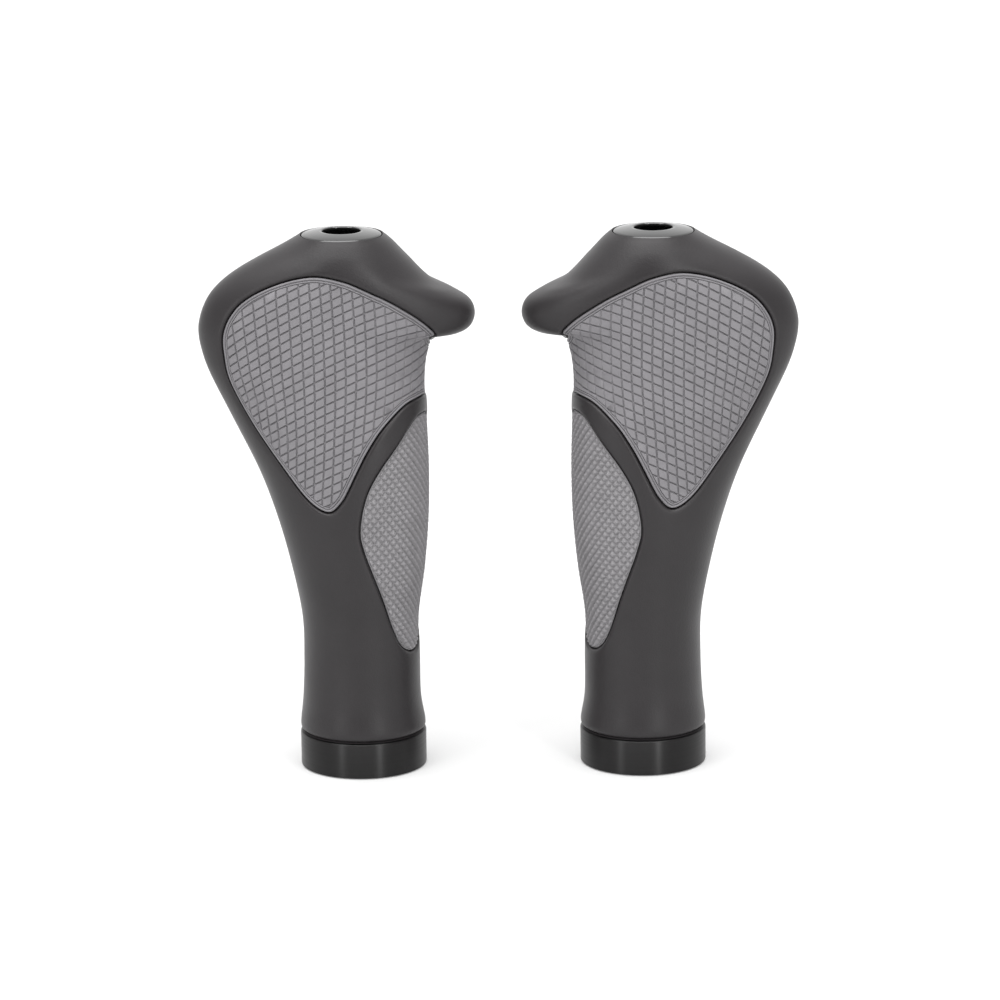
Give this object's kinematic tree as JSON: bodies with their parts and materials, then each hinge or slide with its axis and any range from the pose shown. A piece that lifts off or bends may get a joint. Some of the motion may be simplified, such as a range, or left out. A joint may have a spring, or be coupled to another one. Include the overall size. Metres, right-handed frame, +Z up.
{
  "type": "bar end grips",
  "caption": "Mirrored pair of ergonomic handlebar grips with a palm wing, a stub horn, inlaid soft pads, split clamp rings and wedge plugs behind key holes.",
  "frame": {"origin": "on the surface the pair stands on, under the middle of the pair's bounding box", "axes": "+Z up along both grips' bar axes, from the inboard clamp rings to the outboard ends; +X from the left grip to the right grip; -Y is the palm side, with the pads"},
  "size_m": [0.1524, 0.0356, 0.1394],
  "materials": {
    "rubber": "matte moulded black rubber",
    "pad_grey": "matte grey soft inlay, knurled",
    "nylon": "moulded glass-filled nylon",
    "anodised": "turned, black anodised",
    "gloss_black": "polished black",
    "screw_steel": "zinc plated",
    "plain_alloy": "as machined"
  },
  "bodies": {
    "grips": {"left_grip_body": "rubber", "left_palm_pad": "pad_grey", "left_finger_pad": "pad_grey", "left_core_sleeve": "nylon", "left_end_bezel": "gloss_black", "left_expander_washer": "screw_steel", "left_expander_collar": "plain_alloy", "right_grip_body": "rubber", "right_palm_pad": "pad_grey", "right_finger_pad": "pad_grey", "right_core_sleeve": "nylon", "right_end_bezel": "gloss_black", "right_expander_washer": "screw_steel", "right_expander_collar": "plain_alloy"},
    "left_clamp_ring": {"left_clamp_ring": "anodised"},
    "left_clamp_screw": {"left_clamp_screw": "screw_steel"},
    "left_expander_bolt": {"left_expander_bolt": "screw_steel"},
    "left_expander_wedge": {"left_expander_wedge": "plain_alloy"},
    "right_clamp_ring": {"right_clamp_ring": "anodised"},
    "right_clamp_screw": {"right_clamp_screw": "screw_steel"},
    "right_expander_bolt": {"right_expander_bolt": "screw_steel"},
    "right_expander_wedge": {"right_expander_wedge": "plain_alloy"}
  },
  "joints": [
    {"name": "left_ring_turn", "type": "hinge", "parent": "grips", "child": "left_clamp_ring", "pos_m": [-0.0361, -0.00164, 0.0045], "axis": [0, 0, 1], "range_deg": [-180, 180]},
    {"name": "left_clamp_screw_turn", "type": "hinge", "parent": "left_clamp_ring", "child": "left_clamp_screw", "pos_m": [-0.0404, 0.01426, 0.0045], "axis": [-1, 0, 0], "range_deg": [0, 1080]},
    {"name": "left_expander_bolt_turn", "type": "hinge", "parent": "grips", "child": "left_expander_bolt", "pos_m": [-0.0394, -0.00164, 0.1256], "axis": [0, 0, 1], "range_deg": [0, 2160]},
    {"name": "left_wedge_travel", "type": "slide", "parent": "grips", "child": "left_expander_wedge", "axis": [0, 0, -1], "range_m": [0, 0.0048]},
    {"name": "right_ring_turn", "type": "hinge", "parent": "grips", "child": "right_clamp_ring", "pos_m": [0.0361, -0.00164, 0.0045], "axis": [0, 0, 1], "range_deg": [-180, 180]},
    {"name": "right_clamp_screw_turn", "type": "hinge", "parent": "right_clamp_ring", "child": "right_clamp_screw", "pos_m": [0.0404, 0.01426, 0.0045], "axis": [1, 0, 0], "range_deg": [0, 1080]},
    {"name": "right_expander_bolt_turn", "type": "hinge", "parent": "grips", "child": "right_expander_bolt", "pos_m": [0.0394, -0.00164, 0.1256], "axis": [0, 0, 1], "range_deg": [0, 2160]},
    {"name": "right_wedge_travel", "type": "slide", "parent": "grips", "child": "right_expander_wedge", "axis": [0, 0, -1], "range_m": [0, 0.0048]}
  ],
  "couplings": [
    {"joint": "left_expander_bolt_turn", "follows": "left_wedge_travel", "rad_per_m": 7854},
    {"joint": "right_expander_bolt_turn", "follows": "right_wedge_travel", "rad_per_m": 7854}
  ]
}
